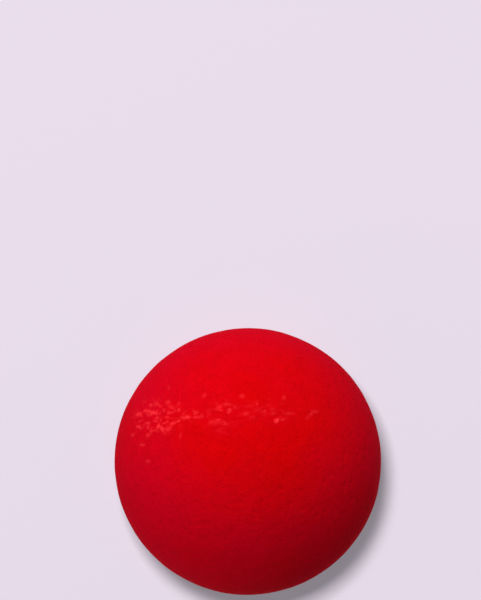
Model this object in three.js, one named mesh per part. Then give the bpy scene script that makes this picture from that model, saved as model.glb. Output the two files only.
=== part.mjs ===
// Clown nose: one soft ball of open-cell foam, bored from behind for the wearer's nose.
//
// Units are millimetres and +Z is up. The nose lies as it rests by itself, on the flat ring round
// its mouth, so the side that is seen when it is worn faces up. The origin is the centre of the
// mouth, on the surface that the ring rests on.

import * as THREE from "three";

// Sizes of the nose
const BALL_DIAMETER = 50;
const BORE_DIAMETER = 19; // relaxed: the foam stretches over the wearer's nose
const BORE_DEPTH = 24; // from the flat ring to the top of the bore's dome
const BORE_DOME_HEIGHT = 6; // rounded end of the bore
const LIP_RADIUS = 0.8; // rounded edge of the mouth
const SEAT_WIDTH = 2; // flat ring round the mouth, which beds on the face
const SEAT_EDGE_RADIUS = 2; // where the flat ring turns up into the ball

// Fineness of the round surfaces
const TURN_STEPS = 64; // steps round the axis of the bore
const BALL_STEPS = 18; // steps from the ball's widest circle to its top, and to its foot
const DOME_STEPS = 6;
const EDGE_STEPS = 4;

const QUARTER_TURN = Math.PI / 2;

// Points of an arc in the profile, whose x is the distance from the axis and y the height
function arc(centre, radius, startAngle, endAngle, steps) {
  const clockwise = endAngle < startAngle;
  const curve = new THREE.EllipseCurve(
    centre.x, centre.y, radius.x, radius.y, startAngle, endAngle, clockwise,
  );
  return curve.getPoints(steps);
}

function sameBothWays(radius) {
  return new THREE.Vector2(radius, radius);
}

// The bore, from the top of its dome down to where the mouth's lip meets the flat ring
function boreProfile(boreRadius) {
  const domeCentre = new THREE.Vector2(0, BORE_DEPTH - BORE_DOME_HEIGHT);
  const domeRadius = new THREE.Vector2(boreRadius, BORE_DOME_HEIGHT);
  const lipCentre = new THREE.Vector2(boreRadius + LIP_RADIUS, LIP_RADIUS);
  return [
    ...arc(domeCentre, domeRadius, QUARTER_TURN, 0, DOME_STEPS),
    ...arc(lipCentre, sameBothWays(LIP_RADIUS), 2 * QUARTER_TURN, 3 * QUARTER_TURN, EDGE_STEPS),
  ];
}

// The outside, from the outer edge of the flat ring up to the top of the ball
function ballProfile(seatRadius) {
  const ballRadius = BALL_DIAMETER / 2;
  // The edge's arc lies inside the ball's and touches it, and it touches the flat ring's plane.
  const centreReach = ballRadius - SEAT_EDGE_RADIUS;
  const centreRise = Math.sqrt(centreReach ** 2 - seatRadius ** 2);
  const joinAngle = -Math.atan2(centreRise, seatRadius);
  const edgeCentre = new THREE.Vector2(seatRadius, SEAT_EDGE_RADIUS);
  const ballCentre = new THREE.Vector2(0, SEAT_EDGE_RADIUS + centreRise);
  const edgeRadius = sameBothWays(SEAT_EDGE_RADIUS);
  const roundRadius = sameBothWays(ballRadius);
  return [
    ...arc(edgeCentre, edgeRadius, -QUARTER_TURN, joinAngle, EDGE_STEPS),
    ...arc(ballCentre, roundRadius, joinAngle, 0, BALL_STEPS).slice(1),
    ...arc(ballCentre, roundRadius, 0, QUARTER_TURN, BALL_STEPS).slice(1),
  ];
}

function foamBall() {
  const boreRadius = BORE_DIAMETER / 2;
  const seatRadius = boreRadius + LIP_RADIUS + SEAT_WIDTH;
  const profile = [...boreProfile(boreRadius), ...ballProfile(seatRadius)];
  const geometry = new THREE.LatheGeometry(profile, TURN_STEPS);
  geometry.rotateX(QUARTER_TURN); // the lathe turns round +Y, and the bore stands on +Z
  const redFoam = new THREE.MeshStandardMaterial({
    name: "red_foam",
    color: 0xd8020d,
    roughness: 0.95,
    metalness: 0,
  });
  const mesh = new THREE.Mesh(geometry, redFoam);
  mesh.name = "foam_ball";
  return mesh;
}

const clownNose = new THREE.Group();
clownNose.name = "clown_nose";
clownNose.add(foamBall());

export default clownNose;
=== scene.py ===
"""A clown's soft foam nose, lying on the flat ring round its mouth in plain studio light.

Lengths are metres in the frame of the solid: +Z is the front of the nose, and the floor is at zero.
The camera looks straight down on the front. +X is to its right, and +Y is up in the picture.
"""

import math
from collections import namedtuple

import bmesh
import bpy
from mathutils import Matrix, Vector


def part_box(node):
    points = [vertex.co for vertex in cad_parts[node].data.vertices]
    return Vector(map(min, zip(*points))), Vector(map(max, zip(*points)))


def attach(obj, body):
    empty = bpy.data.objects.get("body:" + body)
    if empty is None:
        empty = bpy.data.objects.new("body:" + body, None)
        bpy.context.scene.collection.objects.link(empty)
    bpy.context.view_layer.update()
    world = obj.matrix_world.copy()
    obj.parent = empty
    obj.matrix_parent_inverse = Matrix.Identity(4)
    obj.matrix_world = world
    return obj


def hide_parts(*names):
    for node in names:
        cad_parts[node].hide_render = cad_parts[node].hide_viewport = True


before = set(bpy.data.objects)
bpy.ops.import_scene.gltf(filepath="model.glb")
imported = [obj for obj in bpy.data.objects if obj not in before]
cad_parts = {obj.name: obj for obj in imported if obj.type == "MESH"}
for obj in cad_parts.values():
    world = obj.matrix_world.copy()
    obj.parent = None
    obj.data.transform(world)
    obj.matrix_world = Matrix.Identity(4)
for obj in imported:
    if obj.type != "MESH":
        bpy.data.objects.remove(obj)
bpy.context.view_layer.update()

MM = 0.001

# Form of the nose: the ball and its height are the solid's
solid_low, solid_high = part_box("foam_ball")
BALL_RADIUS = (solid_high.x - solid_low.x) / 2
BALL_CENTRE = Vector((0, 0, solid_high.z - BALL_RADIUS))
BORE_RADIUS = 9.5 * MM
BORE_DEPTH = 24 * MM
BORE_DOME_HEIGHT = 6 * MM
LIP_RADIUS = 0.8 * MM
SEAT_WIDTH = 2 * MM
SEAT_EDGE_RADIUS = 2 * MM
SEAT_RADIUS = BORE_RADIUS + LIP_RADIUS + SEAT_WIDTH

# Fineness of the foam's mesh
ARC_STEPS = 48
TURN_STEPS = 256
WELD_REACH = 0.0001 * MM
MESH_SPACING = 0.37 * MM

# Open cells of the foam. Their flat bottom and their rim are so many spacings from their middle. Each
# has a chance from 0 to 1: the lowest are shut, and the highest are the deepest.
CELL_BOTTOM, CELL_RIM = 0.1, 0.55
SHUT_CHANCE, DEEPEST_CHANCE = 0.1, 0.9

# Noise keeps near a half, so its lumps rise from 0 to 1 within this much on either side of it
RELIEF_SPREAD = 0.2
COLOUR_SPREAD = 0.15

# Relief of the foam, all of it pressed in from the solid's surface
PORE_SPACING = 1.3 * MM
PORE_DEPTH = 0.1 * MM
SWELL_SIZE = 3.2 * MM
SWELL_DEPTH = 0.02 * MM
LUMP_SIZE = 9 * MM
LUMP_DEPTH = 0.07 * MM

# Finer cells of the foam's finish, and the larger ones where it is cut
FINE_PORE_SPACING = 0.5 * MM
FINE_PORE_DEPTH = 0.1 * MM
GRAIN_SPACING = 0.27 * MM
GRAIN_DEPTH_SHARE = 0.6  # of a fine pore's
CUT_CELL_SPACING = 0.8 * MM
CUT_EDGE_FADE = 0.4 * MM
CUT_MARGIN = 1 * MM  # above the bore's end, where the cut look starts to fade
PAINTED_CELL_SHADE = 0.3  # painted shade in the open cells, and twice as much where the foam is cut
BUMP_STRENGTH = 0.5

# Colour of the foam, with painted shade and painted highlights laid on it
HUE_SIZE = 11 * MM
DRIFT_SHARE = 0.25
MOTTLE_SIZE = 2.2 * MM
MOTTLE_SHADE = 0.12
# Painted shade: scarlet round the upper front, where the light falls most, and crimson away from it
SCARLET_MIDDLE = BALL_CENTRE + Vector((1.3, 8.8, 23.4)) * MM
SCARLET_REACH = 8 * MM
CRIMSON_REACH = 27 * MM
SCARLET = (0.62, 0.0004, 0.0018, 1)
CRIMSON = (0.6, 0.0003, 0.0118, 1)
# Deep red of the painted shade in the open cells, and of the random mottle
CELL_SHADE_AND_MOTTLE_RED = (0.35, 0.0002, 0.0015, 1)
# Pale red of the painted highlights on the scuffed front
FLECK_HIGHLIGHT_RED = (0.95, 0.028, 0.041, 1)
FOAM_ROUGHNESS = 0.95
FOAM_SHINE = 0.012

# Pale marks on the front, painted highlights where scuffed foam stands up and catches the light,
# charted one by one. Lengths are millimetres from the middle of the front, the turn is in degrees,
# and the strength is 1 where the mark is palest.
ScuffGlint = namedtuple("ScuffGlint", "x y half_width half_height turn strength")
TUFTS = [
    # Upper left, down to the long streak
    ScuffGlint(-14.6, 14.0, 0.3, 0.7, 0, 0.3),
    ScuffGlint(-14.7, 11.4, 0.8, 0.5, -15, 0.4),
    ScuffGlint(-12.7, 11.2, 0.4, 0.6, 0, 0.3),
    ScuffGlint(-12.7, 10.1, 0.4, 0.5, 0, 0.7),
    ScuffGlint(-17.9, 10.8, 0.5, 0.4, 0, 0.6),
    ScuffGlint(-16.9, 11.0, 0.7, 0.4, 5, 0.65),
    ScuffGlint(-18.6, 9.7, 1.0, 0.4, -8, 0.8),
    ScuffGlint(-17.4, 9.4, 1.2, 0.4, -3, 0.95),
    ScuffGlint(-20.2, 9.1, 1.1, 0.4, 20, 0.65),
    ScuffGlint(-15.5, 9.9, 0.3, 0.5, 0, 0.55),
    ScuffGlint(-16.1, 9.4, 0.2, 0.4, 0, 0.45),
    ScuffGlint(-14.5, 9.5, 0.6, 0.4, 5, 0.65),
    # Left, below the long streak
    ScuffGlint(-16.1, 8.2, 0.2, 0.8, 0, 0.35),
    ScuffGlint(-14.0, 8.5, 0.9, 0.2, 0, 0.4),
    ScuffGlint(-12.8, 8.0, 0.6, 0.3, 20, 0.85),
    ScuffGlint(-13.8, 7.6, 0.9, 0.4, 20, 0.7),
    ScuffGlint(-15.4, 7.6, 0.5, 0.3, 0, 0.7),
    ScuffGlint(-16.5, 6.9, 0.9, 0.4, 65, 0.85),
    ScuffGlint(-15.8, 6.5, 0.8, 0.4, -65, 0.9),
    ScuffGlint(-14.6, 6.5, 0.6, 0.4, 50, 0.7),
    ScuffGlint(-18.5, 7.5, 0.8, 0.3, 0, 0.65),
    ScuffGlint(-18.4, 6.8, 0.5, 0.6, 20, 0.45),
    ScuffGlint(-17.8, 6.0, 0.3, 0.5, 0, 0.65),
    ScuffGlint(-20.0, 6.7, 1.0, 0.3, -5, 0.7),
    ScuffGlint(-21.3, 5.2, 0.6, 0.4, 40, 0.4),
    ScuffGlint(-18.4, 5.3, 0.6, 0.4, 40, 0.55),
    ScuffGlint(-12.4, 5.4, 0.4, 0.8, -15, 0.3),
    ScuffGlint(-19.5, 3.5, 0.7, 0.4, 10, 0.55),
    ScuffGlint(-18.4, 0.5, 0.6, 0.4, 0, 0.5),
    # The trail from there to the middle
    ScuffGlint(-11.4, 8.8, 1.3, 0.4, 0, 0.85),
    ScuffGlint(-9.6, 9.5, 0.6, 0.4, 15, 0.6),
    ScuffGlint(-9.5, 8.8, 0.9, 0.3, -5, 0.5),
    ScuffGlint(-8.4, 9.0, 0.6, 0.5, -10, 0.35),
    ScuffGlint(-8.0, 12.7, 0.6, 0.5, 0, 0.3),
    # Two small arches, one above the other
    ScuffGlint(-5.3, 10.6, 0.9, 0.4, 30, 0.4),
    ScuffGlint(-3.8, 11.1, 1.3, 0.4, 0, 0.4),
    ScuffGlint(-2.4, 10.6, 0.6, 0.4, -35, 0.3),
    ScuffGlint(-3.4, 9.9, 0.5, 0.6, 0, 0.75),
    ScuffGlint(-6.6, 7.9, 0.9, 0.4, 15, 0.4),
    ScuffGlint(-5.4, 8.2, 1.0, 0.4, -5, 0.5),
    ScuffGlint(-4.2, 7.6, 0.9, 0.4, -25, 0.4),
    ScuffGlint(-5.2, 6.6, 0.9, 0.3, 10, 0.3),
    # Right of the middle
    ScuffGlint(-1.1, 12.6, 0.7, 0.5, 0, 0.35),
    ScuffGlint(-0.4, 9.4, 1.0, 0.5, 10, 0.35),
    ScuffGlint(1.6, 11.2, 0.3, 0.4, 0, 0.4),
    ScuffGlint(3.0, 9.8, 0.7, 0.5, -35, 0.3),
    ScuffGlint(4.6, 9.4, 0.7, 0.4, 0, 0.3),
    ScuffGlint(5.3, 8.2, 0.6, 0.6, 20, 1.0),
    ScuffGlint(6.3, 8.3, 0.7, 0.4, 0, 0.4),
    ScuffGlint(6.6, 12.3, 0.4, 0.6, 0, 0.35),
    ScuffGlint(7.4, 9.5, 1.7, 0.3, 0, 0.3),
    ScuffGlint(11.5, 9.3, 0.6, 0.4, 30, 0.4),
    ScuffGlint(12.3, 9.7, 1.0, 0.4, 5, 0.35),
    ScuffGlint(10.8, 8.6, 0.6, 0.4, 25, 0.25),
]
STREAKED_PATCHES = [
    ScuffGlint(-17, 8.5, 6.5, 4.5, 0, 0.5),
    ScuffGlint(-10.5, 9, 3.5, 1.5, 0, 0.4),
    ScuffGlint(-5, 9, 4, 4, 0, 0.25),
    ScuffGlint(4, 10, 9, 3, 0, 0.15),
]
SCUFF_GLINT_DEPTH = 20 * MM  # takes in the ball's curve, and stops short of the bore
SCUFF_GLINT_FADE = 0.7  # share of a mark's reach over which it fades to its edge
FRAY_SIZE = 0.55 * MM
FRAY_REACH = 0.5 * MM
STREAK_LENGTH = 1.6 * MM
STREAK_HEIGHT = 0.8 * MM
STREAK_START, STREAK_FULL = 0.48, 0.68  # in the noise that they are cut from
CELL_GAP = 0.7  # how much of a mark an open cell takes away

# The floor glows softly, a painted light that keeps its shadow light. The glow is less beneath the
# nose, a painted shadow where the nose shades it, less red close round the nose, to take out the red
# that the nose throws on it, and more where its own lamp fades
Glow = namedtuple("Glow", "away colour")
GLOWS = [
    Glow(5 * MM, (0.035, 0.017, 0.02, 1)),
    Glow(27 * MM, (0.193, 0.21, 0.237, 1)),
    Glow(70 * MM, (0.233, 0.212, 0.24, 1)),
]
FAR_GLOW = (0.76, 0.675, 0.775, 1)
FLOOR_FADE = 1.65
FLOOR_HALF_SIDE = 3
FLOOR_COLOUR = (0.544, 0.481, 0.559, 1)
FLOOR_ROUGHNESS = 0.9
FLOOR_SHINE = 0.1

# Light
LAMP_DISTANCE = 1.2
ROOM_LIGHT = 0.03

# Where the photo shows the nose
PHOTO_WIDTH, PHOTO_HEIGHT = 481, 600
NOSE_PIXEL_X, NOSE_PIXEL_Y = 247.8, 461.5
NOSE_PIXEL_RADIUS = 133.6
METRES_PER_PIXEL = BALL_RADIUS / NOSE_PIXEL_RADIUS

CAMERA_DISTANCE = 1.0
SENSOR_SIDE = 36  # millimetres, along the picture's long side


def pick(sockets, label):
    """The socket in use that has this name or identifier."""
    return next(s for s in sockets if s.enabled and label in (s.name, s.identifier.replace("_", " ")))


class Wire:
    """One socket of a node tree, or the bare tree. Sums on a Wire add Math nodes to its tree."""

    def __init__(self, tree, socket=None):
        self.tree = tree
        self.socket = socket

    def feed(self, socket, value):
        """Links a Wire to a socket, or sets the socket to a plain value."""
        if isinstance(value, Wire):
            self.tree.links.new(value.socket, socket)
        else:
            socket.default_value = value

    def node(self, kind, settings=(), output=None, **sockets):
        """Adds a node with its settings made first, then its sockets fed, and returns one output."""
        made = self.tree.nodes.new(kind)
        for name, value in dict(settings).items():
            setattr(made, name, value)
        for name, value in sockets.items():
            self.feed(pick(made.inputs, name.replace("_", " ")), value)
        if not made.outputs:
            return None
        return Wire(self.tree, pick(made.outputs, output) if output else made.outputs[0])

    def other(self, output):
        """Another output of the node that this one comes from."""
        return Wire(self.tree, pick(self.socket.node.outputs, output))

    def maths(self, operation, *values):
        made = self.tree.nodes.new("ShaderNodeMath")
        made.operation = operation
        for socket, value in zip(made.inputs, values):
            self.feed(socket, value)
        return Wire(self.tree, made.outputs[0])

    def __add__(self, other):
        return self.maths("ADD", self, other)

    def __radd__(self, other):
        return self.maths("ADD", other, self)

    def __sub__(self, other):
        return self.maths("SUBTRACT", self, other)

    def __rsub__(self, other):
        return self.maths("SUBTRACT", other, self)

    def __mul__(self, other):
        return self.maths("MULTIPLY", self, other)

    def __rmul__(self, other):
        return self.maths("MULTIPLY", other, self)


def empty_board(owner):
    """The node board of a material or a world, with nothing on it."""
    owner.use_nodes = True
    owner.node_tree.nodes.clear()
    return Wire(owner.node_tree)


def vector_maths(board, operation, first, second):
    return board.node(
        "ShaderNodeVectorMath", {"operation": operation}, "Vector", Vector=first, Vector_001=second,
    )


def distance(board, first, second):
    return board.node(
        "ShaderNodeVectorMath", {"operation": "DISTANCE"}, "Value", Vector=first, Vector_001=second,
    )


def blend(board, mask, under, over):
    return board.node(
        "ShaderNodeMix", {"data_type": "RGBA"}, "Result", Factor=mask, A=under, B=over,
    )


def step(board, value, low, high):
    """Rises smoothly from 0 where value is low to 1 where it is high."""
    return board.node(
        "ShaderNodeMapRange", {"interpolation_type": "SMOOTHSTEP"}, "Result",
        Value=value, From_Min=low, From_Max=high,
    )


def lumps(board, place, size, spread, detail=1):
    """Soft lumps about as wide as the size, from 0 between them to 1 on top."""
    noise = board.node(
        "ShaderNodeTexNoise", output="Fac", Vector=place, Scale=1 / size, Detail=detail,
    )
    return step(board, noise, 0.5 - spread, 0.5 + spread)


def pores(board, place, spacing):
    """How deep a place lies in an open cell of the foam, from 0 to 1. Some cells are shut."""
    apart = board.node(
        "ShaderNodeTexVoronoi", {"feature": "F1"}, "Distance", Vector=place, Scale=1 / spacing,
    )
    chance = board.node("ShaderNodeSeparateXYZ", output="X", Vector=apart.other("Color"))
    hollow = 1 - step(board, apart, CELL_BOTTOM, CELL_RIM)
    return hollow * step(board, chance, SHUT_CHANCE, DEEPEST_CHANCE)


def new_object(name, mesh):
    data = bpy.data.meshes.new(name)
    mesh.to_mesh(data)
    mesh.free()
    made = bpy.data.objects.new(name, data)
    bpy.context.scene.collection.objects.link(made)
    return made


def apply_modifiers(piece):
    settled = piece.evaluated_get(bpy.context.evaluated_depsgraph_get())
    finished = bpy.data.meshes.new_from_object(settled)
    piece.modifiers.clear()
    piece.data = finished


def draw_arc(mesh, tip, centre, angle):
    """Carries the profile on round a centre. A positive angle turns from +Z towards +X."""
    spun = bmesh.ops.spin(
        mesh, geom=[tip], cent=centre, axis=(0, 1, 0), angle=angle, steps=ARC_STEPS,
        use_merge=False, use_duplicate=False,
    )
    return next(item for item in spun["geom_last"] if isinstance(item, bmesh.types.BMVert))


def draw_line(mesh, tip, end):
    drawn = bmesh.ops.extrude_vert_indiv(mesh, verts=[tip])
    drawn["verts"][0].co = end
    return drawn["verts"][0]


def nose_profile(mesh):
    """Draws half the nose's outline from the top of the ball, round the mouth, to the bore's end."""
    join = math.atan2(BALL_CENTRE.z - SEAT_EDGE_RADIUS, SEAT_RADIUS)
    quarter = math.pi / 2
    tip = mesh.verts.new((0, 0, BALL_CENTRE.z + BALL_RADIUS))
    tip = draw_arc(mesh, tip, BALL_CENTRE, quarter + join)
    tip = draw_arc(mesh, tip, (SEAT_RADIUS, 0, SEAT_EDGE_RADIUS), quarter - join)
    lip_centre = Vector((BORE_RADIUS + LIP_RADIUS, 0, LIP_RADIUS))
    tip = draw_line(mesh, tip, lip_centre - Vector((0, 0, LIP_RADIUS)))
    tip = draw_arc(mesh, tip, lip_centre, quarter)
    dome_centre = Vector((0, 0, BORE_DEPTH - BORE_DOME_HEIGHT))
    tip = draw_line(mesh, tip, dome_centre + Vector((BORE_RADIUS, 0, 0)))
    before_dome = set(mesh.verts)
    draw_arc(mesh, tip, dome_centre, -quarter)
    bmesh.ops.scale(
        mesh, vec=(1, 1, BORE_DOME_HEIGHT / BORE_RADIUS),
        verts=[v for v in mesh.verts if v not in before_dome],
        space=Matrix.Translation(-dome_centre),
    )


def smooth_nose():
    """The nose's exact form, with no foam relief: the profile turned round the bore's axis."""
    mesh = bmesh.new()
    nose_profile(mesh)
    bmesh.ops.spin(
        mesh, geom=mesh.verts[:] + mesh.edges[:], cent=(0, 0, 0), axis=(0, 0, 1),
        angle=2 * math.pi, steps=TURN_STEPS, use_merge=True, use_duplicate=False,
    )
    bmesh.ops.remove_doubles(mesh, verts=mesh.verts, dist=WELD_REACH)
    bmesh.ops.recalc_face_normals(mesh, faces=mesh.faces)
    return new_object("nose_form", mesh)


def evenly_meshed(form, name):
    """A copy of a form in small, even faces, laid back on the form's own surface."""
    piece = form.copy()
    piece.data = form.data.copy()
    piece.name = name
    bpy.context.scene.collection.objects.link(piece)
    remesh = piece.modifiers.new("even_mesh", "REMESH")
    remesh.mode = "VOXEL"
    remesh.voxel_size = MESH_SPACING
    wrap = piece.modifiers.new("back_on_form", "SHRINKWRAP")
    wrap.target = form
    apply_modifiers(piece)
    return piece


def foam_nose():
    form = smooth_nose()
    piece = evenly_meshed(form, "red_foam_nose")
    relief = piece.modifiers.new("foam_relief", "NODES")
    relief.node_group = foam_relief()
    apply_modifiers(piece)
    bpy.data.objects.remove(form)
    piece.data.shade_smooth()
    piece.data.materials.clear()
    piece.data.materials.append(foam_finish())
    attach(piece, "root")
    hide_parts("foam_ball")
    return piece


def foam_relief():
    """Presses the foam's cells and lumps into its mesh, and marks where the painted highlights of its
    scuffs go.
    """
    tree = bpy.data.node_groups.new("foam_relief", "GeometryNodeTree")
    tree.interface.new_socket("Foam", in_out="INPUT", socket_type="NodeSocketGeometry")
    tree.interface.new_socket("Foam", in_out="OUTPUT", socket_type="NodeSocketGeometry")
    board = Wire(tree)
    foam = board.node("NodeGroupInput", output="Foam")
    place = board.node("GeometryNodeInputPosition")
    outward = board.node("GeometryNodeInputNormal")
    depth = PORE_DEPTH * pores(board, place, PORE_SPACING)
    depth = depth + SWELL_DEPTH * lumps(board, place, SWELL_SIZE, RELIEF_SPREAD)
    depth = depth + LUMP_DEPTH * lumps(board, place, LUMP_SIZE, RELIEF_SPREAD)
    pressed = board.node(
        "ShaderNodeVectorMath", {"operation": "SCALE"}, "Vector", Vector=outward, Scale=-1 * depth,
    )
    moved = board.node("GeometryNodeSetPosition", output="Geometry", Geometry=foam, Offset=pressed)
    marked = keep(board, moved, "tufted", patches(board, frayed(board, place), TUFTS))
    marked = keep(board, marked, "streaked", patches(board, place, STREAKED_PATCHES))
    board.node("NodeGroupOutput", Foam=marked)
    return tree


def keep(board, foam, name, value):
    """Stores a value at each point of the mesh, for the finish to read."""
    return board.node(
        "GeometryNodeStoreNamedAttribute", {"data_type": "FLOAT", "domain": "POINT"}, "Geometry",
        Geometry=foam, Name=name, Value=value,
    )


def patches(board, place, table):
    """The strongest mark of a table at each place, on the front alone. Each fades to its edge."""
    strongest = 0
    for scuff_glint_mark in table:
        across, up = scuff_glint_mark.x * MM, scuff_glint_mark.y * MM
        rise = math.sqrt(BALL_RADIUS**2 - across**2 - up**2)
        middle = BALL_CENTRE + Vector((across, up, rise))
        reach = (scuff_glint_mark.half_width * MM, scuff_glint_mark.half_height * MM, SCUFF_GLINT_DEPTH)
        near = board.node(
            "ShaderNodeTexGradient", {"gradient_type": "SPHERICAL"}, "Fac",
            Vector=stretched(board, place, middle, reach, scuff_glint_mark.turn),
        )
        mark = scuff_glint_mark.strength * step(board, near, 0, SCUFF_GLINT_FADE)
        strongest = board.maths("MAXIMUM", strongest, mark)
    return strongest


def stretched(board, place, middle, reach, turn):
    """Coordinates that are 0 at a middle point and 1 at the reach along each turned axis."""
    turned = board.node(
        "ShaderNodeVectorRotate", {"rotation_type": "Z_AXIS"}, "Vector",
        Vector=place, Center=middle, Angle=-math.radians(turn),
    )
    return vector_maths(board, "DIVIDE", vector_maths(board, "SUBTRACT", turned, middle), reach)


def frayed(board, place):
    """The place, moved a little to and fro, so that what is laid out on it has ragged edges."""
    waver = board.node(
        "ShaderNodeTexNoise", output="Color", Vector=place, Scale=1 / FRAY_SIZE, Detail=1,
    )
    middled = vector_maths(board, "SUBTRACT", waver, (0.5, 0.5, 0.5))
    reach = (FRAY_REACH, FRAY_REACH, FRAY_REACH)
    return vector_maths(board, "ADD", place, vector_maths(board, "MULTIPLY", middled, reach))


def foam_finish():
    finish = bpy.data.materials.new("red_foam")
    board = empty_board(finish)
    place = board.node("ShaderNodeTexCoord", output="Object")
    grain = GRAIN_DEPTH_SHARE * pores(board, place, GRAIN_SPACING)
    open_cells = board.maths("MAXIMUM", pores(board, place, FINE_PORE_SPACING), grain)
    cut = cut_face(board, place)
    open_cells = board.maths("MAXIMUM", open_cells, cut * pores(board, place, CUT_CELL_SPACING))
    glinting_scuffs = scuff_glints(board, place, open_cells)
    # Painted shade: the open cells go towards a deep red, twice as much where the foam is cut
    red = blend(board, open_cells * PAINTED_CELL_SHADE * (1 + cut), red_dye_and_painted_shade(board, place), CELL_SHADE_AND_MOTTLE_RED)
    # Painted highlights: the pale flecks where scuffed foam catches the light
    red = blend(board, glinting_scuffs, red, FLECK_HIGHLIGHT_RED)
    bump = board.node(
        "ShaderNodeBump", output="Normal",
        Height=glinting_scuffs - open_cells, Strength=BUMP_STRENGTH, Distance=FINE_PORE_DEPTH,
    )
    skin = board.node(
        "ShaderNodeBsdfPrincipled", output="BSDF",
        Base_Color=red, Roughness=FOAM_ROUGHNESS, Specular_IOR_Level=FOAM_SHINE, Normal=bump,
    )
    board.node("ShaderNodeOutputMaterial", Surface=skin)
    return finish


def red_dye_and_painted_shade(board, place):
    """The foam's red, mottled and drifting at random towards crimson. It is scarlet on the upper
    front, where the light falls most, and more crimson away from it, a painted shade.
    """
    # Painted shade: more crimson away from the lit upper front
    away = step(board, distance(board, place, SCARLET_MIDDLE), SCARLET_REACH, CRIMSON_REACH)
    drift = lumps(board, place, HUE_SIZE, COLOUR_SPREAD)
    crimson = (1 - DRIFT_SHARE) * away + DRIFT_SHARE * drift
    mottle = lumps(board, place, MOTTLE_SIZE, COLOUR_SPREAD, detail=2)
    return blend(board, MOTTLE_SHADE * mottle, blend(board, crimson, SCARLET, CRIMSON), CELL_SHADE_AND_MOTTLE_RED)


def cut_face(board, place):
    """1 on the bore and the flat ring, where the foam is cut, and 0 on the outside."""
    from_axis = distance(board, vector_maths(board, "MULTIPLY", place, (1, 1, 0)), (0, 0, 0))
    height = board.node("ShaderNodeSeparateXYZ", output="Z", Vector=place)
    inward = 1 - step(board, from_axis, SEAT_RADIUS - CUT_EDGE_FADE, SEAT_RADIUS + CUT_EDGE_FADE)
    return inward * (1 - step(board, height, BORE_DEPTH + CUT_MARGIN, BORE_DEPTH + 2 * CUT_MARGIN))


def scuff_glints(board, place, open_cells):
    """Short pale streaks and tufts: painted highlights where torn walls of the foam stand up and
    catch the light.
    """
    tufts = board.node("ShaderNodeAttribute", {"attribute_name": "tufted"}, "Fac")
    patch = board.node("ShaderNodeAttribute", {"attribute_name": "streaked"}, "Fac")
    level = vector_maths(board, "DIVIDE", place, (STREAK_LENGTH, STREAK_HEIGHT, STREAK_LENGTH))
    streaks = board.node("ShaderNodeTexNoise", output="Fac", Vector=level, Scale=1, Detail=2)
    streaked = step(board, streaks, STREAK_START, STREAK_FULL) * patch
    return board.maths("MAXIMUM", streaked, tufts) * (1 - CELL_GAP * open_cells)


def floor():
    mesh = bmesh.new()
    bmesh.ops.create_grid(mesh, x_segments=1, y_segments=1, size=FLOOR_HALF_SIDE)
    made = new_object("floor", mesh)
    made.data.materials.append(floor_paint())
    return made


def floor_paint():
    """A pale matt paint with a soft glow, which changes away from the nose: a painted light, with a
    painted shadow beneath the nose.
    """
    finish = bpy.data.materials.new("pale_floor")
    board = empty_board(finish)
    away = distance(board, board.node("ShaderNodeTexCoord", output="Object"), (0, 0, 0))
    glow = GLOWS[0].colour
    for near, far in zip(GLOWS, GLOWS[1:]):
        glow = blend(board, step(board, away, near.away, far.away), glow, far.colour)
    glow = blend(board, step(board, away, 0, FLOOR_FADE), glow, FAR_GLOW)
    paint = board.node(
        "ShaderNodeBsdfPrincipled", output="BSDF",
        Base_Color=FLOOR_COLOUR, Roughness=FLOOR_ROUGHNESS, Specular_IOR_Level=FLOOR_SHINE,
        Emission_Color=glow, Emission_Strength=1,
    )
    board.node("ShaderNodeOutputMaterial", Surface=paint)
    return finish


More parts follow.
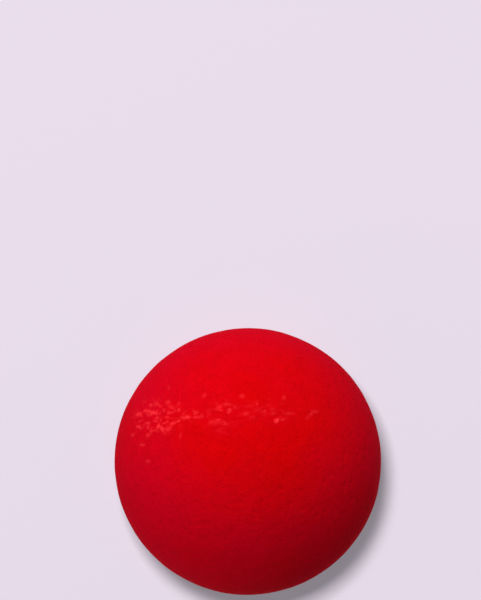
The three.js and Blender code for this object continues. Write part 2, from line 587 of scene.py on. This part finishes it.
def softbox(name, azimuth, elevation, size, strength):
    """A square lamp that faces the nose. strength is what a facing white card would show at it."""
    lamp = bpy.data.lights.new(name, "AREA")
    lamp.shape = "SQUARE"
    lamp.size = size
    lamp.energy = strength * math.pi**2 * LAMP_DISTANCE**2
    made = bpy.data.objects.new(name, lamp)
    bpy.context.scene.collection.objects.link(made)
    around, up = math.radians(azimuth), math.radians(elevation)
    towards = Vector((math.cos(around) * math.cos(up), math.sin(around) * math.cos(up), math.sin(up)))
    made.location = BALL_CENTRE + towards * LAMP_DISTANCE
    made.rotation_euler = towards.to_track_quat("Z", "Y").to_euler()
    made.visible_camera = False
    return made


def shine_on(lamp, thing):
    """Keeps a lamp's light to one thing. The others still throw their shadows on it."""
    lit = bpy.data.collections.new(lamp.name + "_lit")
    lit.objects.link(thing)
    lamp.light_linking.receiver_collection = lit


def room_light():
    world = bpy.data.worlds.new("room")
    bpy.context.scene.world = world
    board = empty_board(world)
    glow = board.node(
        "ShaderNodeBackground", output="Background", Color=(1, 1, 1, 1), Strength=ROOM_LIGHT,
    )
    board.node("ShaderNodeOutputWorld", Surface=glow)


def lights(nose, ground):
    """Three lamps for the nose alone, one for the floor alone, and a little light from all round."""
    key = softbox("key", azimuth=150, elevation=70, size=0.3, strength=0.55)
    top = softbox("top", azimuth=90, elevation=40, size=0.9, strength=0.81)
    side = softbox("side", azimuth=200, elevation=10, size=0.3, strength=0.13)
    for lamp in (key, top, side):
        shine_on(lamp, nose)
    table = softbox("table", azimuth=114, elevation=79.4, size=0.165, strength=1.065)
    shine_on(table, ground)
    room_light()


def camera():
    """Looks straight down, and shows the nose where the photo does."""
    lens = bpy.data.cameras.new("camera")
    made = bpy.data.objects.new("camera", lens)
    bpy.context.scene.collection.objects.link(made)
    right = (NOSE_PIXEL_X - PHOTO_WIDTH / 2) * METRES_PER_PIXEL
    down = (NOSE_PIXEL_Y - PHOTO_HEIGHT / 2) * METRES_PER_PIXEL
    made.location = BALL_CENTRE + Vector((-right, down, CAMERA_DISTANCE))
    lens.sensor_width = SENSOR_SIDE
    reach = math.sqrt(CAMERA_DISTANCE**2 - BALL_RADIUS**2)
    focal_pixels = NOSE_PIXEL_RADIUS * reach / BALL_RADIUS
    lens.lens = focal_pixels * SENSOR_SIDE / PHOTO_HEIGHT
    bpy.context.scene.camera = made


camera()
lights(foam_nose(), floor())

bpy.context.scene.view_settings.view_transform = "Standard"
